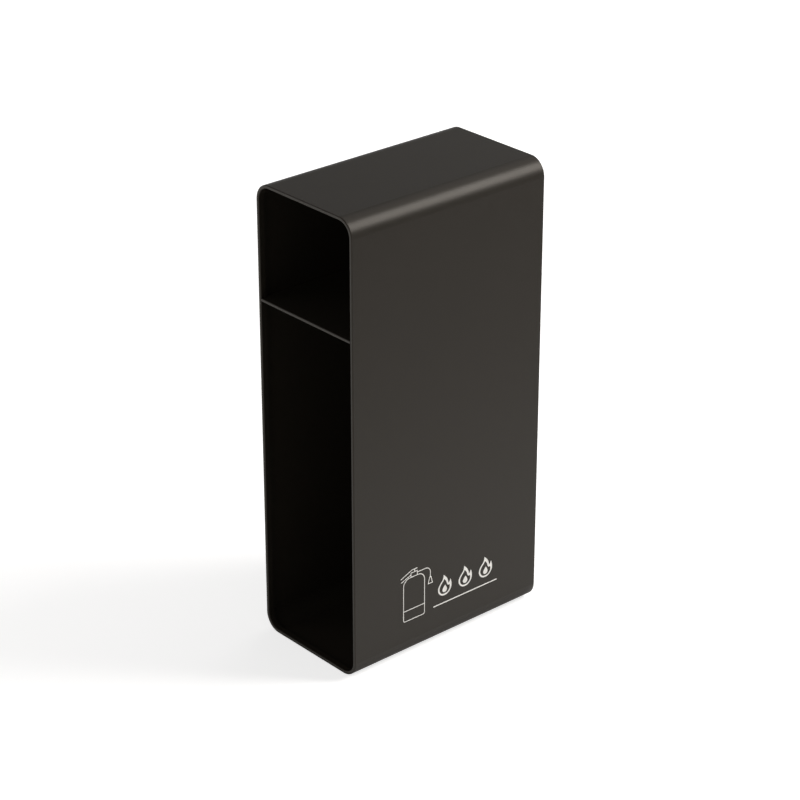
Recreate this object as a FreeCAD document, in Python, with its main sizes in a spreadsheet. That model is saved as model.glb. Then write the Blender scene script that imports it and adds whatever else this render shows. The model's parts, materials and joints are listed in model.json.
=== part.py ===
import FreeCAD, Part

import math
import os
import Sketcher

# An open-fronted steel box for fire safety equipment. It stands on the floor, with a tall
# compartment under a low one. One sheet is bent into an upright loop whose front edge is
# folded inward twice, a flat panel closes the rear, and a folded shelf is welded in.
# Frame: millimetres, +Z up, the open front faces -Y, origin on the floor under the centre.

SIZES = [
    ("box_width", 200.0, "overall width of the box, along X"),
    ("box_depth", 350.0, "overall depth from the front edge to the rear edge, along Y"),
    ("box_height", 700.0, "overall height above the floor, foot pads included"),
    ("sheet_thickness", 1.2, "steel sheet of the sleeve, the back panel and the shelf"),
    ("bend_radius", 26.0, "outside radius of the four large bends of the sleeve"),
    ("fold_radius", 0.4, "inside radius of every small fold, limited by the narrowest hem"),
    ("lip_width", 5.0, "width of the sleeve's folded front edge"),
    ("lip_return", 10.0, "how far the folded edge runs back inside the opening"),
    ("shelf_level", 528.0, "top face of the shelf above the floor"),
    ("shelf_edge", 4.5, "height of the shelf's folded front edge"),
    ("shelf_return", 12.0, "how far the shelf's folded edge runs back under the shelf"),
    ("shelf_flange", 12.0, "depth of the shelf's three welding flanges"),
    ("shelf_notch_play", 1.0, "gap between the sleeve's folded edge and the shelf's notches"),
    ("shelf_corner_relief", 2.0, "gap between the side flanges and the fold of the rear flange"),
    ("panel_inset", 2.0, "how far the back panel sits in from the rear edge"),
    ("panel_corner_play", 1.0, "how much rounder the panel's corners are than the bends"),
    ("pad_diameter", 20.0, "diameter of a foot pad"),
    ("pad_thickness", 2.0, "height of a foot pad"),
    ("pad_chamfer", 0.5, "chamfer of a foot pad's lower edge"),
    ("pad_side_setback", 38.0, "centre of a foot pad from the box's side"),
    ("pad_end_setback", 38.0, "centre of a foot pad from the front or the rear edge"),
]

# Places worked out from the driving dimensions, as expressions on the sheet.
SIDE = "(Sizes.box_width / 2)"
FRONT = "(-Sizes.box_depth / 2)"
REAR = "(Sizes.box_depth / 2)"
BASE = "Sizes.pad_thickness"
TOP = "Sizes.box_height"
SHEET = "Sizes.sheet_thickness"
NARROWEST_HEM = "min(Sizes.lip_width; Sizes.shelf_edge)"
ROUND_SHARE = 0.8
FOLD = f"min(Sizes.fold_radius; {ROUND_SHARE} * ({NARROWEST_HEM} / 2 - {SHEET}))"
INNER_SIDE = f"({SIDE} - {SHEET})"
LIP_SIDE = f"({SIDE} - Sizes.lip_width)"
PANEL_FRONT = f"({REAR} - Sizes.panel_inset - {SHEET})"
SHELF_TOP = "Sizes.shelf_level"
FLANGE_END = f"({SHELF_TOP} - Sizes.shelf_flange)"

# Sketch references: the points of a curve in their order, and the sketch's origin.
START, END, CENTRE = range(1, 4)
ORIGIN = (-1, START)
TOUCHING = 1e-6

doc = FreeCAD.newDocument("storage_box")


def make_sheet(rows):
    """Driving dimensions: a name, a plain number with an alias, and what it sets."""
    sheet = doc.addObject("Spreadsheet::Sheet", "Sizes")
    for row, (alias, value, note) in enumerate(rows, start=1):
        sheet.set(f"A{row}", alias)
        sheet.set(f"B{row}", str(value))
        sheet.setAlias(f"B{row}", alias)
        sheet.set(f"C{row}", note)
    doc.recompute()


def new_body(label):
    body = doc.addObject("PartDesign::Body", label)
    body.Label = label
    return body


def new_sketch(body, name, role):
    """A sketch on one of the body's own origin planes."""
    sketch = body.newObject("Sketcher::SketchObject", name)
    plane = next(item for item in body.Origin.OriginFeatures if item.Role == role)
    sketch.AttachmentSupport = (plane, "")
    sketch.MapMode = "FlatFace"
    doc.recompute()
    return sketch


def constrain(sketch, kind, *references):
    return sketch.addConstraint(Sketcher.Constraint(kind, *references))


def dimension(sketch, name, kind, references, expression):
    """A named driving dimension, bound to the sheet."""
    value = float(sketch.evalExpression(expression))
    index = constrain(sketch, kind, *references, value)
    sketch.renameConstraint(index, name)
    sketch.setExpression(f"Constraints.{name}", expression)


def place(sketch, name, axis, geometry, point, expression):
    """Fixes one coordinate of a point, measured from the sketch's origin."""
    if float(sketch.evalExpression(expression)) < 0:
        dimension(sketch, name, f"Distance{axis}", (geometry, point, *ORIGIN), f"-({expression})")
    else:
        dimension(sketch, name, f"Distance{axis}", (*ORIGIN, geometry, point), expression)


def heading(start, end):
    return (end - start).normalize()


def is_level(start, end):
    return abs(end.y - start.y) < abs(end.x - start.x)


def draw_path(sketch, corners, radius, closed=False):
    """Level and upright lines through the corners, each turn rounded by a tangent arc.

    The first line ends and the last line starts at a turn. A closed path also turns at its
    first corner. The lines and the arcs come back in the order in which they are drawn.
    """
    count = len(corners)
    legs = count if closed else count - 1
    ends = [(corners[i], corners[(i + 1) % count]) for i in range(legs)]
    directions = [heading(start, end) for start, end in ends]
    lines = []
    for i, (start, end) in enumerate(ends):
        trim_start = radius if closed or i > 0 else 0
        trim_end = radius if closed or i < legs - 1 else 0
        segment = Part.LineSegment(start + directions[i] * trim_start, end - directions[i] * trim_end)
        lines.append(sketch.addGeometry(segment))
        constrain(sketch, "Horizontal" if is_level(start, end) else "Vertical", lines[i])
    arcs = []
    for i in range(legs if closed else legs - 1):
        before, after = directions[i], directions[(i + 1) % legs]
        centre = ends[i][1] + (after - before) * radius
        enter = math.atan2(-after.y, -after.x)
        leave = math.atan2(before.y, before.x)
        turns_left = before.cross(after).z > 0
        angles = (enter, leave) if turns_left else (leave, enter)
        circle = Part.Circle(centre, FreeCAD.Vector(0, 0, 1), radius)
        arcs.append(sketch.addGeometry(Part.ArcOfCircle(circle, *angles)))
        first, last = (START, END) if turns_left else (END, START)
        constrain(sketch, "Tangent", lines[i], END, arcs[i], first)
        constrain(sketch, "Tangent", arcs[i], last, lines[(i + 1) % legs], START)
    return lines, arcs


def corner_points(sketch, corners):
    return [FreeCAD.Vector(*(float(sketch.evalExpression(text)) for text in corner)) for corner in corners]


def fix_lines(sketch, names, lines, corners, points):
    """Fixes each line across its own direction: a level one in height, an upright one sideways."""
    for name, geometry, corner, start, end in zip(names, lines, corners, points, points[1:] + points[:1]):
        if is_level(start, end):
            place(sketch, name, "Y", geometry, START, corner[1])
        else:
            place(sketch, name, "X", geometry, START, corner[0])


def equal_arcs(sketch, arcs, name, radius):
    dimension(sketch, name, "Radius", (arcs[0],), radius)
    for other in arcs[1:]:
        constrain(sketch, "Equal", arcs[0], other)


def rounded_rectangle(sketch, side, low, high, radius):
    """A closed rounded rectangle, symmetric about the sketch's vertical axis."""
    corners = [(f"-{side}", low), (side, low), (side, high), (f"-{side}", high)]
    points = corner_points(sketch, corners)
    lines, arcs = draw_path(sketch, points, float(sketch.evalExpression(radius)), closed=True)
    fix_lines(sketch, ("lowest", "right", "highest", "left"), lines, corners, points)
    equal_arcs(sketch, arcs, "corner_radius", radius)


def inner_face(points, sheet):
    """The inner face's corners, one sheet inside the outer face's corners."""
    first = points[0] + heading(points[1], points[2]) * sheet
    last = points[-1] - heading(points[-3], points[-2]) * sheet
    turns = [
        corner + (heading(corner, after) - heading(before, corner)) * sheet
        for before, corner, after in zip(points, points[1:], points[2:])
    ]
    return [first, *turns, last]


def close_end(sketch, name, outer, inner, point, corner, upright):
    """The sheet's cut edge between its two faces, at a place along the leg that it ends."""
    ends = [sketch.getPoint(face, point) for face in (outer, inner)]
    edge = sketch.addGeometry(Part.LineSegment(*ends))
    constrain(sketch, "Coincident", edge, START, outer, point)
    constrain(sketch, "Coincident", edge, END, inner, point)
    constrain(sketch, "Vertical" if upright else "Horizontal", edge)
    place(sketch, name, "X" if upright else "Y", outer, point, corner[0 if upright else 1])
    return edge


def folded_section(sketch, corners, names):
    """The section of a folded sheet.

    The corners follow the sheet's outer face, and every turn bends towards the inner face.
    names has one entry for each leg, for its place across its own direction.
    """
    points = corner_points(sketch, corners)
    sheet = float(sketch.evalExpression(SHEET))
    fold = float(sketch.evalExpression(FOLD))
    outer_lines, outer_arcs = draw_path(sketch, points, fold + sheet)
    inner_lines, inner_arcs = draw_path(sketch, inner_face(points, sheet), fold)
    for outer_arc, inner_arc in zip(outer_arcs, inner_arcs):
        constrain(sketch, "Coincident", outer_arc, CENTRE, inner_arc, CENTRE)
    fix_lines(sketch, names, outer_lines, corners, points)
    equal_arcs(sketch, inner_arcs, "fold_radius", FOLD)
    starts_level = is_level(points[0], points[1])
    ends_level = is_level(points[-2], points[-1])
    edge = close_end(sketch, "first_edge", outer_lines[0], inner_lines[0], START, corners[0], starts_level)
    close_end(sketch, "last_edge", outer_lines[-1], inner_lines[-1], END, corners[-1], ends_level)
    dimension(sketch, "sheet", "Distance", (edge,), SHEET)


def make_sleeve():
    """The sheet's edge, with its double fold at the front, led once round the upright loop."""
    body = new_body("sleeve")
    section = new_sketch(body, "sleeve_section", "YZ_Plane")
    lip_top = f"({BASE} + Sizes.lip_width)"
    return_end = f"({FRONT} + Sizes.lip_return)"
    outer_face = [(REAR, BASE), (FRONT, BASE), (FRONT, lip_top), (return_end, lip_top)]
    folded_section(section, outer_face, ("outer_face", "front_face", "return_face"))

    loop = new_sketch(body, "sleeve_loop", "XZ_Plane")
    corners = [("0", BASE), (SIDE, BASE), (SIDE, TOP), (f"-{SIDE}", TOP), (f"-{SIDE}", BASE), ("0", BASE)]
    points = corner_points(loop, corners)
    lines, arcs = draw_path(loop, points, float(loop.evalExpression("Sizes.bend_radius")))
    fix_lines(loop, ("base", "right", "top", "left"), lines, corners, points)
    equal_arcs(loop, arcs, "bend_radius", "Sizes.bend_radius")
    constrain(loop, "Coincident", lines[-1], END, lines[0], START)
    place(loop, "seam", "X", lines[0], START, "0")

    wrap = body.newObject("PartDesign::AdditivePipe", "sleeve_wrap")
    wrap.Profile = section
    wrap.Spine = loop
    return body


def pad_sketch(body, name, sketch, length, midplane=False):
    pad = body.newObject("PartDesign::Pad", name)
    pad.Profile = sketch
    if midplane:
        pad.SideType = "Symmetric"
    pad.setExpression("Length", length)
    return pad


def make_back_panel():
    """A flat sheet that fills the sleeve from bend to bend, set in from the rear edge."""
    body = new_body("back_panel")
    outline = new_sketch(body, "panel_outline", "XZ_Plane")
    outline.setExpression("AttachmentOffset.Base.z", f"-({PANEL_FRONT} + {SHEET})")
    corner = f"(Sizes.bend_radius - {SHEET} + Sizes.panel_corner_play)"
    rounded_rectangle(outline, INNER_SIDE, f"({BASE} + {SHEET})", f"({TOP} - {SHEET})", corner)
    pad_sketch(body, "panel_sheet", outline, SHEET)
    return body


def make_shelf():
    """A tray folded from sheet.

    Between the sleeve's folded edges it runs from the front plane to the back panel, with a
    closed edge in front and a welding flange behind. Behind the folded edges it is wider and
    reaches both side walls with a flange on each.
    """
    body = new_body("shelf")
    lengthwise = new_sketch(body, "shelf_lengthwise_section", "YZ_Plane")
    edge_bottom = f"({SHELF_TOP} - Sizes.shelf_edge)"
    return_end = f"({FRONT} + Sizes.shelf_return)"
    outer_face = [
        (PANEL_FRONT, FLANGE_END),
        (PANEL_FRONT, SHELF_TOP),
        (FRONT, SHELF_TOP),
        (FRONT, edge_bottom),
        (return_end, edge_bottom),
    ]
    folded_section(lengthwise, outer_face, ("rear_flange", "deck", "front_face", "return_face"))
    pad_sketch(body, "shelf_tongue", lengthwise, f"2 * {LIP_SIDE}", midplane=True)

    crosswise = new_sketch(body, "shelf_crosswise_section", "XZ_Plane")
    notch_end = f"({FRONT} + Sizes.lip_return + Sizes.shelf_notch_play)"
    rear_end = f"({PANEL_FRONT} - {SHEET} - {FOLD} - Sizes.shelf_corner_relief)"
    crosswise.setExpression("AttachmentOffset.Base.z", f"-{rear_end}")
    outer_face = [
        (f"-{INNER_SIDE}", FLANGE_END),
        (f"-{INNER_SIDE}", SHELF_TOP),
        (INNER_SIDE, SHELF_TOP),
        (INNER_SIDE, FLANGE_END),
    ]
    folded_section(crosswise, outer_face, ("left_flange", "deck", "right_flange"))
    pad_sketch(body, "shelf_deck", crosswise, f"{rear_end} - {notch_end}")
    return body


def make_foot_pad(label, side, end):
    """A soft disc under the base, side and end being its signs along X and Y."""
    body = new_body(label)
    outline = new_sketch(body, f"{label}_outline", "XY_Plane")
    circle = outline.addGeometry(Part.Circle(FreeCAD.Vector(0, 0, 0), FreeCAD.Vector(0, 0, 1), 1))
    constrain(outline, "Coincident", circle, CENTRE, *ORIGIN)
    dimension(outline, "diameter", "Diameter", (circle,), "Sizes.pad_diameter")
    disc = pad_sketch(body, f"{label}_disc", outline, "Sizes.pad_thickness")
    doc.recompute()
    lower_edges = [
        f"Edge{number}"
        for number, edge in enumerate(disc.Shape.Edges, start=1)
        if edge.BoundBox.ZMax < TOUCHING
    ]
    chamfer = body.newObject("PartDesign::Chamfer", f"{label}_chamfer")
    chamfer.Base = (disc, lower_edges)
    chamfer.setExpression("Size", f"min(Sizes.pad_chamfer; {ROUND_SHARE} * Sizes.pad_thickness)")
    body.setExpression("Placement.Base.x", f"{side} * ({SIDE} - Sizes.pad_side_setback)")
    body.setExpression("Placement.Base.y", f"{end} * ({REAR} - Sizes.pad_end_setback)")
    return body


def check(parts):
    """Stops before anything is written if a feature failed or a shape is unsound."""
    for item in doc.Objects:
        if "Invalid" in item.State or "Error" in item.State:
            raise RuntimeError(f"{item.Name} failed: {item.State}")
    for part in parts:
        if part.Shape.isNull() or not part.Shape.isValid() or len(part.Shape.Solids) != 1:
            raise RuntimeError(f"{part.Label} is not one sound solid")


make_sheet(SIZES)
parts = [make_sleeve(), make_back_panel(), make_shelf()]
for end_name, end_sign in (("front", -1), ("rear", 1)):
    for side_name, side_sign in (("left", -1), ("right", 1)):
        parts.append(make_foot_pad(f"foot_pad_{end_name}_{side_name}", side_sign, end_sign))
doc.recompute()
check(parts)

os.makedirs("parts", exist_ok=True)
for part in parts:
    part.Shape.exportStep(f"parts/{part.Label}.step")
    box = part.Shape.BoundBox
    print(
        f"{part.Label}: {part.Shape.Volume / 1000:.1f} cm3,"
        f" X {box.XMin:.2f} to {box.XMax:.2f}, Y {box.YMin:.2f} to {box.YMax:.2f},"
        f" Z {box.ZMin:.2f} to {box.ZMax:.2f}"
    )
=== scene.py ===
# %% [markdown]
# This lesson dresses a storage box of bent sheet steel. The box itself arrives as a packed
# model, one object for each piece, already at its real size in metres. Nothing here moves or
# resizes those pieces. What is added is what a workshop adds after the bending: the weld
# beads, the powder coat, the printed sign, and then a small photo studio round the box.

# %% Load the frame
import json
import math

import bmesh
import bpy
from mathutils import Matrix, Vector
from mathutils.geometry import tessellate_polygon


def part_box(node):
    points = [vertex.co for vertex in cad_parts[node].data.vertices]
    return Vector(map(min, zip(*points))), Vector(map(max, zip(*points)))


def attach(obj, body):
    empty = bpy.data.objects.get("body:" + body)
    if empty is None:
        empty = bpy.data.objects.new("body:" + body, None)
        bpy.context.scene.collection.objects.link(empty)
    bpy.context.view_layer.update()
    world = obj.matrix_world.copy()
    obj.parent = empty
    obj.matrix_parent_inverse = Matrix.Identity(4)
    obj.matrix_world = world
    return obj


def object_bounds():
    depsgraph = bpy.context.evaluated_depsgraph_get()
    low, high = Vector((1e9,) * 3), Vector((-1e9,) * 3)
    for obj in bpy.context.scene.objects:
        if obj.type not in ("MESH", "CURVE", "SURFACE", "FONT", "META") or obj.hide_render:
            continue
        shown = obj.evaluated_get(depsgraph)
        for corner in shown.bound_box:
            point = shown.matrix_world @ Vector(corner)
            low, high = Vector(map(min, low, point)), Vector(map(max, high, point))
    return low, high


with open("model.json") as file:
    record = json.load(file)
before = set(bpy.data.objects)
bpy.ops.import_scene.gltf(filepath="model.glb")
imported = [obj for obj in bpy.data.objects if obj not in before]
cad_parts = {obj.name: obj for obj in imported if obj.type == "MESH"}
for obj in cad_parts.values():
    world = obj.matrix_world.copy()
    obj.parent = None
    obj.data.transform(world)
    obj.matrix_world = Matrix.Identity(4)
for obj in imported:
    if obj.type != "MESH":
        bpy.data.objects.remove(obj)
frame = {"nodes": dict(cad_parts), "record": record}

BODY = "root"
MM = 0.001
solid_low, solid_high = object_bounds()
for name in sorted(frame["nodes"]):
    low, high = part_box(name)
    size = [round((b - a) / MM, 1) for a, b in zip(low, high)]
    print(f"{name}: {size} mm")

# %% [markdown]
# The camera comes first, because every later choice is judged through it. Its place is given
# the way a photographer would say it: how far round the box, how high above the horizon, how
# far away, and how long the lens is. The numbers were found by matching the outline of the
# box to the photograph. The lens is long, so the upright edges lean only a little.

# %% Place the camera
CAMERA_AZIMUTH = math.radians(48.72)
CAMERA_ELEVATION = math.radians(25.84)
CAMERA_DISTANCE = 3.714
CAMERA_SLIDE = -0.0022
CAMERA_RISE = 0.0009
FOCAL_PIXELS = 2608
PHOTO_PIXELS = 800
AIM_HEIGHT = 0.35


def direction(azimuth, elevation):
    """Unit vector from the box towards something that stands round it, as a compass would say it."""
    flat = math.cos(elevation)
    return Vector((math.sin(azimuth) * flat, -math.cos(azimuth) * flat, math.sin(elevation)))


def place_camera():
    back = direction(CAMERA_AZIMUTH, CAMERA_ELEVATION)
    right = Vector((math.cos(CAMERA_AZIMUTH), math.sin(CAMERA_AZIMUTH), 0))
    up = back.cross(right)
    data = bpy.data.cameras.new("camera")
    data.lens = data.sensor_width * FOCAL_PIXELS / PHOTO_PIXELS
    data.clip_end = 100
    camera = bpy.data.objects.new("camera", data)
    bpy.context.scene.collection.objects.link(camera)
    aim = Vector((0, 0, AIM_HEIGHT))
    camera.location = aim + back * CAMERA_DISTANCE + right * CAMERA_SLIDE + up * CAMERA_RISE
    camera.rotation_mode = "QUATERNION"
    camera.rotation_quaternion = (-back).to_track_quat("-Z", "Y")
    bpy.context.scene.camera = camera
    print(f"camera: lens {data.lens:.1f} mm, {CAMERA_DISTANCE} m from the middle of the box")


place_camera()

# %% [markdown]
# A shader is a sum of nodes, and sums are easier to read as sums. The class below wraps one
# output of one node, so that 1 - mask or grain * 0.5 writes the Math nodes by itself. Its
# one other method adds any node: first its settings, then the values or links of its inputs.

# %% Write shader maths as Python
class Signal:
    """One output of a node, which can be added, subtracted and multiplied like a number."""

    def __init__(self, tree, socket=None):
        self.tree = tree
        self.socket = socket

    def node(self, kind, settings=None, inputs=None, output=0):
        """Adds a node, sets it up, feeds its inputs and gives back one of its outputs."""
        node = self.tree.nodes.new(kind)
        for name, value in (settings or {}).items():
            setattr(node, name, value)
        for name, value in (inputs or {}).items():
            if isinstance(value, Signal):
                self.tree.links.new(value.socket, node.inputs[name])
            else:
                node.inputs[name].default_value = value
        return Signal(self.tree, node.outputs[output]) if node.outputs else None

    def __add__(self, other):
        return self.node("ShaderNodeMath", {"operation": "ADD"}, {0: self, 1: other})

    def __radd__(self, other):
        return self.node("ShaderNodeMath", {"operation": "ADD"}, {0: other, 1: self})

    def __sub__(self, other):
        return self.node("ShaderNodeMath", {"operation": "SUBTRACT"}, {0: self, 1: other})

    def __rsub__(self, other):
        return self.node("ShaderNodeMath", {"operation": "SUBTRACT"}, {0: other, 1: self})

    def __mul__(self, other):
        return self.node("ShaderNodeMath", {"operation": "MULTIPLY"}, {0: self, 1: other})

    def __rmul__(self, other):
        return self.node("ShaderNodeMath", {"operation": "MULTIPLY"}, {0: other, 1: self})


# %% [markdown]
# Every finish below starts from an empty material. It then needs the same few steps: noise
# that lies in the object's own space, a mix of two colours, and a height that bends the
# light. Each of these is a short function, so that a finish reads as a recipe.

# %% Helpers for finishes
def new_material(name):
    """An empty material, with a signal to build on and a function that finishes it."""
    material = bpy.data.materials.new(name)
    material.use_nodes = True
    tree = material.node_tree
    tree.nodes.clear()
    start = Signal(tree)

    def finish(shader):
        start.node("ShaderNodeOutputMaterial", inputs={"Surface": shader})
        print(f"material {name}: {len(tree.nodes)} nodes")
        return material

    return start, finish


def noise(start, place, per_metre, detail=2.0, rough=0.5):
    """Soft blotches with about that many to the metre, as a number round one half."""
    settings = {"noise_dimensions": "3D"}
    inputs = {"Vector": place, "Scale": per_metre, "Detail": detail, "Roughness": rough}
    return start.node("ShaderNodeTexNoise", settings, inputs)


def between(start, mask, first, second):
    """A colour that runs from the first to the second as the mask runs from 0 to 1."""
    settings = {"data_type": "RGBA", "clamp_factor": True}
    return start.node("ShaderNodeMix", settings, {0: mask, 6: first, 7: second}, output=2)


def bump(start, height, depth, strength, under=None):
    """Turns a height signal into a surface normal, on top of another normal if one is given."""
    inputs = {"Height": height, "Distance": depth, "Strength": strength}
    if under:
        inputs["Normal"] = under
    return start.node("ShaderNodeBump", inputs=inputs)


# %% [markdown]
# Powder coat is plastic dust, melted onto the steel in an oven. It flows into a satin skin
# that is smooth from afar, with two textures up close: a slow ripple a few millimetres wide,
# which coaters call orange peel, and a fine grain under a millimetre. Both are bumps here.
# The gloss wanders a little too, and the warm grey is slightly uneven. The shine stays on
# the shader's own number, lower than bare plastic, because the satin powder scatters it.

# %% Powder coat
COAT_DARK = (0.0134, 0.0110, 0.0082, 1)
COAT_LIGHT = (0.0166, 0.0138, 0.0104, 1)
COAT_SHINE = 0.21
COAT_SHINE_TINT = (1.0, 0.95, 0.88, 1)
COAT_ROUGHNESS = 0.36
CLOUDS_PER_METRE = 9
RIPPLES_PER_METRE = 330
GRAINS_PER_METRE = 1500
RIPPLE_DEPTH = 0.2 * MM
RIPPLE_STRENGTH = 0.2
GRAIN_DEPTH = 0.08 * MM
GRAIN_STRENGTH = 0.3


def make_powder_coat():
    start, finish = new_material("powder_coat")
    place = start.node("ShaderNodeTexCoord", output="Object")
    cloud = noise(start, place, CLOUDS_PER_METRE, detail=3)
    peel = noise(start, place, RIPPLES_PER_METRE, detail=1)
    grain = noise(start, place, GRAINS_PER_METRE, detail=2, rough=0.6)
    colour = between(start, cloud * 0.7 + grain * 0.3, COAT_DARK, COAT_LIGHT)
    ripple = bump(start, peel, RIPPLE_DEPTH, RIPPLE_STRENGTH)
    normal = bump(start, grain, GRAIN_DEPTH, GRAIN_STRENGTH, under=ripple)
    inputs = {
        "Base Color": colour,
        "Roughness": COAT_ROUGHNESS + cloud * 0.05 + grain * 0.06,
        "Normal": normal,
        "Specular IOR Level": COAT_SHINE,
        "Specular Tint": COAT_SHINE_TINT,
    }
    return finish(start.node("ShaderNodeBsdfPrincipled", inputs=inputs))


powder_coat = make_powder_coat()

# %% [markdown]
# The foot pads are cut from a sheet of soft black rubber foam. It has almost no shine, and
# its skin is pitted by the cells of the foam.

# %% Foot pad rubber
RUBBER_DARK = (0.012, 0.012, 0.012, 1)
RUBBER_LIGHT = (0.022, 0.022, 0.021, 1)
RUBBER_SHINE = 0.35
RUBBER_ROUGHNESS = 0.78
CELLS_PER_METRE = 1400
CELL_DEPTH = 0.15 * MM


def make_rubber():
    start, finish = new_material("pad_rubber")
    place = start.node("ShaderNodeTexCoord", output="Object")
    spacing = {"Vector": place, "Scale": CELLS_PER_METRE}
    cells = start.node("ShaderNodeTexVoronoi", {"feature": "F1"}, spacing)
    blotch = noise(start, place, 120)
    colour = between(start, cells * 0.5 + blotch * 0.5, RUBBER_DARK, RUBBER_LIGHT)
    inputs = {
        "Base Color": colour,
        "Roughness": RUBBER_ROUGHNESS + blotch * 0.12,
        "Normal": bump(start, cells, CELL_DEPTH, 0.5),
        "Specular IOR Level": RUBBER_SHINE,
    }
    return finish(start.node("ShaderNodeBsdfPrincipled", inputs=inputs))


pad_rubber = make_rubber()

# %% [markdown]
# The sign is screen printed, so its ink is a thin, even, slightly warm white with no shine.
# Ink pushed through a mesh leaves faint pinholes, which let a little of the grey through.

# %% Sign ink
INK_WHITE = (0.93, 0.92, 0.89, 1)
INK_THIN = (0.78, 0.77, 0.73, 1)
INK_SHINE = 0.3
INK_ROUGHNESS = 0.55
PINHOLES_PER_METRE = 2600
PINHOLE_DEPTH = 0.03 * MM


def make_ink():
    start, finish = new_material("print_ink")
    place = start.node("ShaderNodeTexCoord", output="Object")
    pinholes = noise(start, place, PINHOLES_PER_METRE, detail=1)
    blotch = noise(start, place, 60)
    colour = between(start, pinholes * 0.5 + blotch * 0.4, INK_WHITE, INK_THIN)
    inputs = {
        "Base Color": colour,
        "Roughness": INK_ROUGHNESS + pinholes * 0.15,
        "Normal": bump(start, pinholes, PINHOLE_DEPTH, 0.4),
        "Specular IOR Level": INK_SHINE,
    }
    return finish(start.node("ShaderNodeBsdfPrincipled", inputs=inputs))


print_ink = make_ink()

# %% [markdown]
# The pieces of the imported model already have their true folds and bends, so they are kept as
# they are and only painted. Each one has one material slot, which takes the new finish.

# %% Paint the pieces
FINISHES = {"powder_coat": powder_coat, "pad_rubber": pad_rubber}


def paint_nodes():
    for entry in frame["record"]["subparts"]:
        mesh = frame["nodes"][entry["node"]].data
        mesh.materials.clear()
        mesh.materials.append(FINISHES[entry["material_slot"]])
        print(f"{entry['node']} is finished in {entry['material_slot']}")


paint_nodes()

# %% [markdown]
# The sign is drawn on the side as strokes. A stroke is a ribbon of even width along a line,
# with round ends, as thin as a layer of ink. Each line is a list of points on the side face,
# given as distance along the box and height above the floor, in millimetres. Every stroke
# lies a hundredth of a millimetre above the one before, so that crossings stay clean.

# %% Find the edges of a stroke
SIDE_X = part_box("sleeve")[1].x


def side_point(along, height, lift):
    return Vector((SIDE_X + lift, along * MM, height * MM))


def offsets(points, half, closed):
    """The two edges of a ribbon: each point pushed half a width to the left and to the right."""
    left, right = [], []
    count = len(points)
    for i, (along, height) in enumerate(points):
        before = points[i - 1] if closed or i > 0 else points[i]
        after = points[(i + 1) % count] if closed or i < count - 1 else points[i]
        arriving = Vector((along - before[0], height - before[1]))
        leaving = Vector((after[0] - along, after[1] - height))
        if arriving.length == 0:
            arriving = leaving.copy()
        if leaving.length == 0:
            leaving = arriving.copy()
        arriving.normalize()
        leaving.normalize()
        across = (arriving + leaving).normalized()
        stretch = half / max(across.dot(leaving), 0.5)
        side = Vector((-across.y, across.x)) * stretch
        left.append((along + side.x, height + side.y))
        right.append((along - side.x, height - side.y))
    return left, right


# %% [markdown]
# With its two edges known, a stroke becomes a thin closed solid: a quadrilateral for each leg
# of the line, a half disc at each free end, the same faces again on the steel below, and a
# wall wherever an edge belongs to one face only. A curve object with a bevel would be
# quicker, but it would be round in section, and ink is flat.

# %% Lay a stroke on the side
INK_LIFT = 0.05 * MM
INK_STEP = 0.01 * MM
END_STEPS = 8


def round_end(centre, edge_point):
    """Points of the half circle that starts at the edge point and ends on the other edge."""
    arm = Vector((edge_point[0] - centre[0], edge_point[1] - centre[1]))
    angle = math.atan2(arm.y, arm.x)
    steps = [angle + math.pi * i / END_STEPS for i in range(1, END_STEPS)]
    return [(centre[0] + arm.length * math.cos(a), centre[1] + arm.length * math.sin(a)) for a in steps]


def lay_ribbon(mesh, points, width, closed, lift):
    """Adds one stroke to the mesh, as a flat closed solid on the side face."""
    left, right = offsets(points, width / 2, closed)
    loops = []
    pairs = list(zip(left, right))
    legs = len(pairs) if closed else len(pairs) - 1
    for i in range(legs):
        (a, b), (c, d) = pairs[i], pairs[(i + 1) % len(pairs)]
        loops.append([a, b, d, c])
    if not closed:
        loops.append([left[0], *round_end(points[0], left[0]), right[0]])
        loops.append([right[-1], *round_end(points[-1], right[-1]), left[-1]])
    low, high = {}, {}

    def corner(store, point, above):
        key = (round(point[0], 4), round(point[1], 4))
        if key not in store:
            store[key] = mesh.verts.new(side_point(*point, above))
        return store[key]

    rims = {}
    for loop in loops:
        mesh.faces.new([corner(high, point, lift) for point in loop])
        mesh.faces.new([corner(low, point, 0) for point in reversed(loop)])
        for a, b in zip(loop, loop[1:] + loop[:1]):
            ends = tuple((round(p[0], 4), round(p[1], 4)) for p in (a, b))
            if ends[::-1] in rims:
                del rims[ends[::-1]]
            else:
                rims[ends] = (a, b)
    for a, b in rims.values():
        mesh.faces.new(
            [corner(high, b, lift), corner(high, a, lift), corner(low, a, 0), corner(low, b, 0)]
        )


# %% [markdown]
# Every added piece starts the same way: its mesh becomes an object in one finish, under the
# name it is given, and rides on the body of the box.

# %% Turn a mesh into a printed piece
def add_piece(name, mesh, finish):
    """Makes an object of a finished mesh."""
    data = bpy.data.meshes.new(name)
    mesh.to_mesh(data)
    mesh.free()
    data.materials.append(finish)
    piece = bpy.data.objects.new(name, data)
    bpy.context.scene.collection.objects.link(piece)
    print(f"{name}: {len(data.polygons)} faces")
    return piece


def ink_piece(name, mesh):
    """Turns a finished mesh into a piece of the box, in sign ink."""
    bmesh.ops.recalc_face_normals(mesh, faces=mesh.faces)
    piece = add_piece(name, mesh, print_ink)
    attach(piece, BODY)


def print_strokes(name, strokes):
    """One printed figure made of strokes, each given as points, width and whether it is closed."""
    mesh = bmesh.new()
    for level, (points, width, closed) in enumerate(strokes):
        lay_ribbon(mesh, points, width, closed, INK_LIFT + INK_STEP * level)
    ink_piece(name, mesh)


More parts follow.
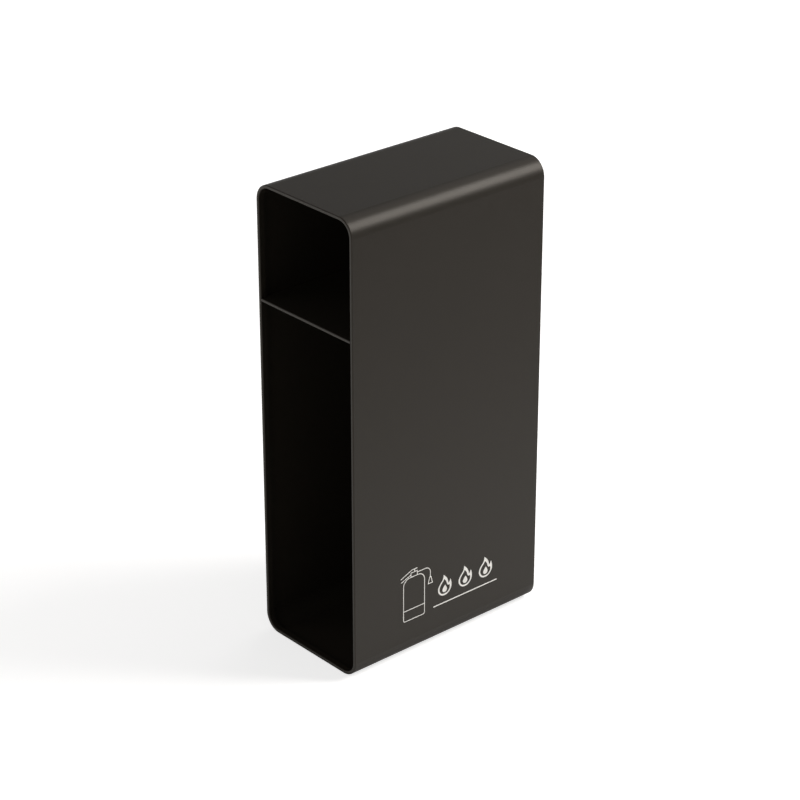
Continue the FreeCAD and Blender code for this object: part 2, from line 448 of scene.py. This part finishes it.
# %% [markdown]
# The first figure is a plain outline of an extinguisher: a can with round shoulders, a neck,
# a carrying handle with a squeeze lever above it, and a hose with a flared nozzle. Curved
# stretches are quarter circles, worked out from their centre, so that no list of points is
# longer than the shape needs. All the lines have one width, as in any plain pictogram.

# %% Print the extinguisher outline
THIN_LINE = 1.2
CURVE_STEPS = 7


def quarter(centre, radius, first_degree, last_degree):
    """Points on an arc, from one angle to another. At 0 degrees a point lies on the rear side."""
    span = last_degree - first_degree
    angles = [math.radians(first_degree + span * i / CURVE_STEPS) for i in range(CURVE_STEPS + 1)]
    return [(centre[0] + radius * math.cos(a), centre[1] + radius * math.sin(a)) for a in angles]


def draw_extinguisher():
    left, right, base, shoulder = -84.0, -44.0, 61.0, 124.0
    foot, crown = 3.0, 12.0
    neck_left, neck_right, neck_top = -70.0, -58.0, 137.0
    can = [
        *quarter((left + foot, base + foot), foot, 180, 270),
        *quarter((right - foot, base + foot), foot, 270, 360),
        *quarter((right - crown, shoulder - crown + 6), crown, 0, 90),
        *quarter((left + crown, shoulder - crown + 6), crown, 90, 180),
    ]
    neck = [(neck_left, 130.5), (neck_left, neck_top), (neck_right, neck_top), (neck_right, 130.5)]
    handle = [(neck_left, 134.0), (-88.0, 127.5)]
    pivot = [(-63.0, neck_top), (-63.0, 141.5)]
    lever = [(-58.5, 141.5), (-68.0, 141.5), (-89.0, 133.0)]
    hose = [
        (-58.0, 134.5),
        (-42.0, 134.5),
        *quarter((-42.0, 125.5), 9.0, 90, 0),
        (-33.0, 118.0),
    ]
    nozzle = [(-34.5, 117.0), (-31.5, 117.0), (-29.0, 107.0), (-37.0, 107.0)]
    band = [(left, 78.0), (right, 78.0)]
    return [
        (can, THIN_LINE, True),
        (neck, THIN_LINE, False),
        (handle, THIN_LINE, False),
        (pivot, THIN_LINE, False),
        (lever, THIN_LINE, False),
        (hose, THIN_LINE, False),
        (nozzle, THIN_LINE, True),
        (band, THIN_LINE, False),
    ]


print_strokes("extinguisher_sign", draw_extinguisher())

# %% [markdown]
# Beside the outline stand three flames, the common picture for fire. A flame has sharp tips
# and round flanks, so its edge is a chain of smooth runs that meet in corners. Each run is a
# curve through a few listed points, counted in millimetres from the foot of the flame.
# The flame is open inside, with a small solid drop in the opening.

# %% Draw a flame
SMOOTH_STEPS = 5
OUTER_EDGE = [
    [(-2, 34), (3.6, 28), (6.4, 22), (7.2, 17.5)],
    [(7.2, 17.5), (9.4, 20), (11, 23.5)],
    [
        (11, 23.5), (13.2, 16), (12, 8), (6.8, 1.9), (0, 0), (-7, 1.8), (-12.3, 8), (-12.4, 15),
        (-8.8, 21), (-4, 26.5), (-2, 34),
    ],
]
OPENING = [
    [
        (-1.2, 27), (2.6, 22.2), (4.4, 17.2), (6.4, 14.6), (9.4, 14.4), (9.6, 9), (5.7, 4.1), (0, 2.7),
        (-5.8, 4), (-9.7, 9), (-9.8, 14.6), (-6.6, 19.8), (-2.8, 23.8), (-1.2, 27),
    ],
]
DROP = [
    [
        (0.8, 17), (3.7, 12), (4.3, 8.6), (2.6, 5.9), (0, 5.2), (-2.7, 5.9), (-4.4, 8.8), (-3.2, 12.6),
        (0.8, 17),
    ],
]


def smooth_run(points):
    """A curve through all the points, as a Catmull-Rom spline makes it, without the last one."""
    last = len(points) - 1
    run = []
    for i in range(last):
        before, start, end, after = (Vector(points[min(max(i + k, 0), last)]) for k in (-1, 0, 1, 2))
        for step in range(SMOOTH_STEPS):
            t = step / SMOOTH_STEPS
            bend = 2 * start + (end - before) * t
            bend += (2 * before - 5 * start + 4 * end - after) * t * t
            bend += (3 * start - before - 3 * end + after) * t * t * t
            run.append(bend / 2)
    return run


# %% [markdown]
# A flame is a flat patch with an opening, which a ribbon can't make. Its outline and its
# opening are filled with triangles by Blender's own polygon tool, on both faces, and each
# loop gets a wall. Three of them stand in a row, and a thin rule runs under the row.

# %% Print the flames and the rule
FLAME_BASE = 76.5
FLAME_FIRST = -5.0
FLAME_PITCH = 40.0
FLAME_COUNT = 3
RULE = [(-26.0, 64.5), (97.0, 64.5)]
RULE_WIDTH = 1.8


def placed_edge(runs, middle):
    """A closed edge on the side face, with its foot at the given distance along the box."""
    return [(middle + p.x, FLAME_BASE + p.y) for run in runs for p in smooth_run(run)]


def lay_plate(mesh, edge, openings):
    """Adds one flat patch of ink with the given edge and openings, as a closed solid."""
    loops = [edge, *openings]
    tops, bottoms = [], []
    for loop in loops:
        top = [mesh.verts.new(side_point(*point, INK_LIFT)) for point in loop]
        bottom = [mesh.verts.new(side_point(*point, 0)) for point in loop]
        for i in range(len(loop)):
            j = (i + 1) % len(loop)
            mesh.faces.new([top[i], top[j], bottom[j], bottom[i]])
        tops += top
        bottoms += bottom
    flat = [[Vector((along, height, 0)) for along, height in loop] for loop in loops]
    for corners in tessellate_polygon(flat):
        mesh.faces.new([tops[i] for i in corners])
        mesh.faces.new([bottoms[i] for i in reversed(corners)])


def print_flame(number):
    middle = FLAME_FIRST + FLAME_PITCH * number
    mesh = bmesh.new()
    lay_plate(mesh, placed_edge(OUTER_EDGE, middle), [placed_edge(OPENING, middle)])
    lay_plate(mesh, placed_edge(DROP, middle), [])
    ink_piece(f"flame_sign_{number + 1}", mesh)


for number in range(FLAME_COUNT):
    print_flame(number)
print_strokes("rule_sign", [(RULE, RULE_WIDTH, False)])

# %% [markdown]
# Welds hold the sheet parts together. A bead is a row of overlapping scales left by the
# torch. It is made as a small rounded section led along the joint, with its size rising and
# falling once for each scale. A bump could show the scales, but not their outline.

# %% Lay a weld bead
SCALE_LENGTH = 2.4 * MM
RINGS_PER_SCALE = 3
SECTION_STEPS = 4
SCALE_SWELL = 0.16
BEAD_CROWN = 1.12


def bead_rings(path, first_side, second_side, leg):
    """Cross sections of a bead in a corner, whose two legs run along the two given directions."""
    rings = []
    travelled = 0.0
    for i, (point, side_a, side_b) in enumerate(zip(path, first_side, second_side)):
        if i:
            travelled += (point - path[i - 1]).length
        swell = 1 + SCALE_SWELL * abs(math.sin(math.pi * travelled / SCALE_LENGTH))
        ring = [point]
        for step in range(SECTION_STEPS + 1):
            angle = math.pi / 2 * step / SECTION_STEPS
            reach = leg * swell / (math.cos(angle) + math.sin(angle)) * BEAD_CROWN
            arm = side_a * math.cos(angle) + side_b * math.sin(angle)
            ring.append(point + arm * reach)
        rings.append(ring)
    return rings


def bead_piece(name, runs, closed=False):
    """One object that holds several beads, each a list of rings of points."""
    mesh = bmesh.new()
    for rings in runs:
        verts = [[mesh.verts.new(point) for point in ring] for ring in rings]
        count = len(verts)
        for i in range(count if closed else count - 1):
            ring, other = verts[i], verts[(i + 1) % count]
            for j in range(len(ring)):
                k = (j + 1) % len(ring)
                mesh.faces.new([ring[j], ring[k], other[k], other[j]])
        if not closed:
            mesh.faces.new(list(reversed(verts[0])))
            mesh.faces.new(verts[-1])
    bmesh.ops.recalc_face_normals(mesh, faces=mesh.faces)
    for face in mesh.faces:
        face.smooth = True
    piece = add_piece(name, mesh, powder_coat)
    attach(piece, BODY)


# %% [markdown]
# From behind, a thin bead fills the corner between the back panel and the sleeve that stands
# 2 mm proud of it. The bead follows the sleeve's inner face all the way round, so its path is
# a rounded rectangle, walked in even steps: a corner, then the straight run after it.

# %% Weld the back panel in
SHEET = 1.2 * MM
BEND_RADIUS = 26 * MM
BEAD_LEG = 1.3 * MM
panel_low, panel_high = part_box("back_panel")


def rectangle_path(half_width, low, high, radius, depth, spacing):
    """Points round an upright rounded rectangle, with the direction that points inward at each."""
    points, inward = [], []
    centres = [
        (half_width - radius, low + radius, -90),
        (half_width - radius, high - radius, 0),
        (-half_width + radius, high - radius, 90),
        (-half_width + radius, low + radius, 180),
    ]
    for index, (x, z, start) in enumerate(centres):
        arc_steps = round(math.pi / 2 * radius / spacing)
        for step in range(arc_steps):
            angle = math.radians(start + 90 * step / arc_steps)
            arm = Vector((math.cos(angle), 0, math.sin(angle)))
            points.append(Vector((x, depth, z)) + arm * radius)
            inward.append(-arm)
        angle = math.radians(start + 90)
        arm = Vector((math.cos(angle), 0, math.sin(angle)))
        next_x, next_z, _ = centres[(index + 1) % 4]
        begin = Vector((x, depth, z)) + arm * radius
        end = Vector((next_x, depth, next_z)) + arm * radius
        line_steps = round((end - begin).length / spacing)
        for step in range(line_steps):
            points.append(begin.lerp(end, step / line_steps))
            inward.append(-arm)
    return points, inward


def weld_back_panel():
    spacing = SCALE_LENGTH / RINGS_PER_SCALE
    radius = BEND_RADIUS - SHEET
    path, inward = rectangle_path(
        panel_high.x, panel_low.z, panel_high.z, radius, panel_high.y, spacing
    )
    rearward = [Vector((0, 1, 0))] * len(path)
    rings = bead_rings(path, inward, rearward, BEAD_LEG)
    bead_piece("rear_weld", [rings], closed=True)


weld_back_panel()

# %% [markdown]
# Under the shelf the three flanges are only tacked, with short beads along their lower edges.
# They show when someone looks up into the tall compartment.

# %% Tack the shelf
TACK_LENGTH = 22 * MM
TACK_LEG = 1.1 * MM
SIDE_TACKS = (0.12, 0.5, 0.85)
REAR_TACKS = (-0.5, 0.5)
shelf_low, shelf_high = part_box("shelf")


def straight_bead(middle, along, side_a, side_b):
    steps = round(TACK_LENGTH / SCALE_LENGTH * RINGS_PER_SCALE)
    path = [middle + along * TACK_LENGTH * (i / steps - 0.5) for i in range(steps + 1)]
    return bead_rings(path, [side_a] * len(path), [side_b] * len(path), TACK_LEG)


def tack_shelf():
    down = Vector((0, 0, -1))
    along_depth = Vector((0, 1, 0))
    along_width = Vector((1, 0, 0))
    runs = []
    for share in SIDE_TACKS:
        y = shelf_low.y + (shelf_high.y - shelf_low.y) * share
        for sign in (-1, 1):
            corner = Vector((sign * shelf_high.x, y, shelf_low.z))
            runs.append(straight_bead(corner, along_depth, Vector((-sign, 0, 0)), down))
    for share in REAR_TACKS:
        corner = Vector((shelf_high.x * share, shelf_high.y, shelf_low.z))
        runs.append(straight_bead(corner, along_width, Vector((0, -1, 0)), down))
    bead_piece("shelf_tacks", runs)


tack_shelf()

# %% [markdown]
# The sleeve is one long strip, bent four times. Its two ends meet in the middle of the base,
# where nobody sees them, and are joined by a flat weld along the whole depth. The bead is
# ground nearly flush, so it is wide and only a tenth of a millimetre or so proud. It is made
# from cross sections whose width wanders a little, because hand grinding is never even.

# %% Close the sleeve with a seam
SEAM_HALF_WIDTH = 2.6 * MM
SEAM_PROUD = 0.16 * MM
SEAM_STEP = 3.0 * MM
SEAM_PROFILE = [(-1.0, 0.0), (-0.6, 0.75), (0.0, 1.0), (0.6, 0.75), (1.0, 0.0)]
WIDTH_WAVES = [(0.07, 1.7), (0.05, 0.61)]
HEIGHT_WAVES = [(0.12, 1.13)]
FRONT_FOLD = 1.0 * MM
sleeve_low, sleeve_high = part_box("sleeve")


def wander(step, waves):
    """About 1, plus a few sine waves, each given as its size and its speed."""
    return 1 + sum(size * math.sin(step * speed) for size, speed in waves)


def weld_seam():
    start_y = sleeve_low.y + FRONT_FOLD
    steps = round((sleeve_high.y - start_y) / SEAM_STEP)
    rings = []
    for i in range(steps + 1):
        y = start_y + (sleeve_high.y - start_y) * i / steps
        width = SEAM_HALF_WIDTH * wander(i, WIDTH_WAVES)
        proud = SEAM_PROUD * wander(i, HEIGHT_WAVES)
        profile = [(width * across, sleeve_low.z - proud * share) for across, share in SEAM_PROFILE]
        rings.append([Vector((x, y, z)) for x, z in profile])
    bead_piece("seam_weld", [rings])


weld_seam()

# %% [markdown]
# A render may show the camera one brightness and a reflection another. The Light Path node
# tells the rays apart, and a smooth fade over a distance does the rest. The studio uses both
# several times, so they come first.

# %% Tell the rays apart
def larger(start, first, second):
    """The larger of two numbers."""
    return start.node("ShaderNodeMath", {"operation": "MAXIMUM"}, {0: first, 1: second})


def seen_by_camera(start):
    """1 for rays that come straight from the camera, and 0 for all others."""
    return start.node("ShaderNodeLightPath", output="Is Camera Ray")


def seen_in_gloss(start):
    """1 for rays from a reflection or through glass, and 0 for all others."""
    mirrored = start.node("ShaderNodeLightPath", output="Is Glossy Ray")
    return larger(start, mirrored, start.node("ShaderNodeLightPath", output="Is Transmission Ray"))


def fade(start, value, first, last, at_first, at_last):
    """Runs smoothly from one number to another as the value passes from first to last."""
    inputs = {"Value": value, 1: first, 2: last, 3: at_first, 4: at_last}
    return start.node("ShaderNodeMapRange", {"interpolation_type": "SMOOTHSTEP"}, inputs)


# %% [markdown]
# The studio is plain: a wide sheet of pale paper on the floor, and white all round. The paper
# keeps the shadow of the box. To the camera it also glows a little, more far off than near the
# box, so that it reads as white. Reflections and glass see a painted pool of glow on it instead,
# strongest near the box and strong ahead of it. It paints the brighter lower part of each side
# and the even brightness of the folded front edge. At the very foot of the box this glow falls
# to nothing, which paints a thin contact shadow into those reflections.

# %% Floor
FLOOR_COLOUR = (0.66, 0.66, 0.66, 1)
FLOOR_HALF = 30.0
WHITE_NEAR = 0.68
WHITE_FAR = 0.93
WHITE_START = 0.8
WHITE_END = 3.5
# The GLOW numbers set a painted pool of glow on the floor that only reflections see.
GLOW_NEAR = 0.84
GLOW_FAR = 0.02
GLOW_RISE = 0.02
GLOW_START = 0.2
GLOW_END = 1.5
GLOW_AHEAD = 0.95
AHEAD_REACH = 0.42


def distance_from_box(start):
    """How far a point of the floor is from the rectangle that the box covers."""
    place = start.node("ShaderNodeTexCoord", output="Object")
    mirror = start.node("ShaderNodeVectorMath", {"operation": "ABSOLUTE"}, {0: place})
    corner = (solid_high[0], solid_high[1], 0.0)
    beyond = start.node("ShaderNodeVectorMath", {"operation": "SUBTRACT"}, {0: mirror, 1: corner})
    clear = start.node("ShaderNodeVectorMath", {"operation": "MAXIMUM"}, {0: beyond, 1: (0.0, 0.0, 0.0)})
    return start.node("ShaderNodeVectorMath", {"operation": "LENGTH"}, {0: clear}, output="Value")


def make_floor():
    start, finish = new_material("studio_floor")
    distance = distance_from_box(start)
    # Painted contact shadow: the reflected glow drops to nothing at the foot of the box.
    reflected_contact_shade = fade(start, distance, 0.0, GLOW_RISE, 0.0, 1.0)
    around = fade(start, distance, GLOW_START, GLOW_END, GLOW_NEAR, GLOW_FAR)
    place = start.node("ShaderNodeTexCoord", output="Object")
    depth = start.node("ShaderNodeSeparateXYZ", inputs={0: place}, output="Y")
    ahead = fade(start, depth, solid_low[1] - AHEAD_REACH, solid_low[1], 1.0, 0.0)
    # Painted reflection: the glow pool near and ahead of the box, cut by the painted contact shadow.
    mirrored = reflected_contact_shade * (around + ahead * (GLOW_AHEAD - around))
    direct = fade(start, distance, WHITE_START, WHITE_END, WHITE_NEAR, WHITE_FAR)
    glow = seen_by_camera(start) * direct + seen_in_gloss(start) * mirrored
    paper = start.node("ShaderNodeBsdfDiffuse", inputs={"Color": FLOOR_COLOUR})
    light = start.node("ShaderNodeEmission", inputs={"Color": (1, 1, 1, 1), "Strength": glow})
    material = finish(start.node("ShaderNodeAddShader", inputs={0: paper, 1: light}))
    data = bpy.data.meshes.new("floor")
    half = FLOOR_HALF
    corners = [(-half, -half, 0), (half, -half, 0), (half, half, 0), (-half, half, 0)]
    data.from_pydata(corners, [], [(0, 1, 2, 3)])
    data.materials.append(material)
    floor = bpy.data.objects.new("floor", data)
    bpy.context.scene.collection.objects.link(floor)


make_floor()

# %% [markdown]
# The white surroundings fade to grey overhead, as in a room with white walls and a dim
# ceiling. The flat top of the box mirrors that dim part, so it stays dark. Light that
# scatters gets an even, dim grey from them instead.

# %% Surroundings
AMBIENT = 0.16
CEILING = 0.25
WALL_TOP = 0.0
CEILING_START = 0.3


def make_world():
    world = bpy.data.worlds.new("studio")
    world.use_nodes = True
    world.node_tree.nodes.clear()
    start = Signal(world.node_tree)
    towards = start.node("ShaderNodeTexCoord", output="Generated")
    height = start.node("ShaderNodeSeparateXYZ", inputs={0: towards}, output="Z")
    room = fade(start, height, WALL_TOP, CEILING_START, 1.0, CEILING)
    seen = seen_by_camera(start) * (1 - AMBIENT) + seen_in_gloss(start) * (room - AMBIENT)
    inputs = {"Color": (1, 1, 1, 1), "Strength": AMBIENT + seen}
    back = start.node("ShaderNodeBackground", inputs=inputs)
    start.node("ShaderNodeOutputWorld", inputs={"Surface": back})
    bpy.context.scene.world = world


make_world()

# %% [markdown]
# One long soft box does nearly all the lighting. It stands behind and to the right, and its
# long side lies across the bend between the top and the side, so its reflection is the soft
# streak that runs along that bend. A wide, weak one overhead makes the streak fade out slowly
# towards the top. A small one in front looks into the two compartments, and another, low
# and to the left, picks out the folded front edges.

# %% Soft boxes
ACROSS_THE_BEND = Vector((-0.764, 0.0, 0.645))
SIDEWAYS = Vector((1, 0, 0))
UPRIGHT = Vector((0, 0, 1))
LAMP_COLOUR = (1.0, 0.97, 0.94)


def soft_box(name, towards, distance, length, width, watts, long_side):
    """A lamp that faces the box. Its long side runs as nearly as it can in the given direction."""
    towards = towards.normalized()
    up = (long_side - towards * long_side.dot(towards)).normalized()
    data = bpy.data.lights.new(name, "AREA")
    data.shape = "RECTANGLE"
    data.size = width
    data.size_y = length
    data.energy = watts
    data.color = LAMP_COLOUR
    lamp = bpy.data.objects.new(name, data)
    lamp.rotation_mode = "QUATERNION"
    lamp.rotation_quaternion = Matrix((up.cross(towards), up, towards)).transposed().to_quaternion()
    lamp.location = Vector((0, 0, AIM_HEIGHT)) + towards * distance
    lamp.visible_camera = False
    bpy.context.scene.collection.objects.link(lamp)
    print(f"{name}: {watts} W, {distance} m away")


LAMPS = [
    {
        "name": "bend_light",
        "towards": Vector((0.507, 0.593, 0.626)),
        "distance": 4.0,
        "length": 2.45,
        "width": 0.7,
        "watts": 163,
        "long_side": ACROSS_THE_BEND,
    },
    {
        "name": "overhead_light",
        "towards": Vector((-0.098, 0.593, 0.799)),
        "distance": 4.0,
        "length": 3.2,
        "width": 1.7,
        "watts": 20,
        "long_side": SIDEWAYS,
    },
    {
        "name": "front_light",
        "towards": Vector((0.2, -0.94, 0.28)),
        "distance": 2.5,
        "length": 1.6,
        "width": 1.0,
        "watts": 12,
        "long_side": UPRIGHT,
    },
    {
        "name": "edge_light",
        "towards": Vector((-0.62, -0.75, 0.2)),
        "distance": 2.5,
        "length": 1.6,
        "width": 1.0,
        "watts": 9,
        "long_side": UPRIGHT,
    },
]
for lamp_facts in LAMPS:
    soft_box(**lamp_facts)

bpy.context.scene.view_settings.view_transform = "Standard"

# %% [markdown]
# The last cell prints the size of the imported model, measured before anything was added,
# and hands the scene over.

# %% Measure and finish
print("solids", [round(v, 4) for v in (*solid_low, *solid_high)])
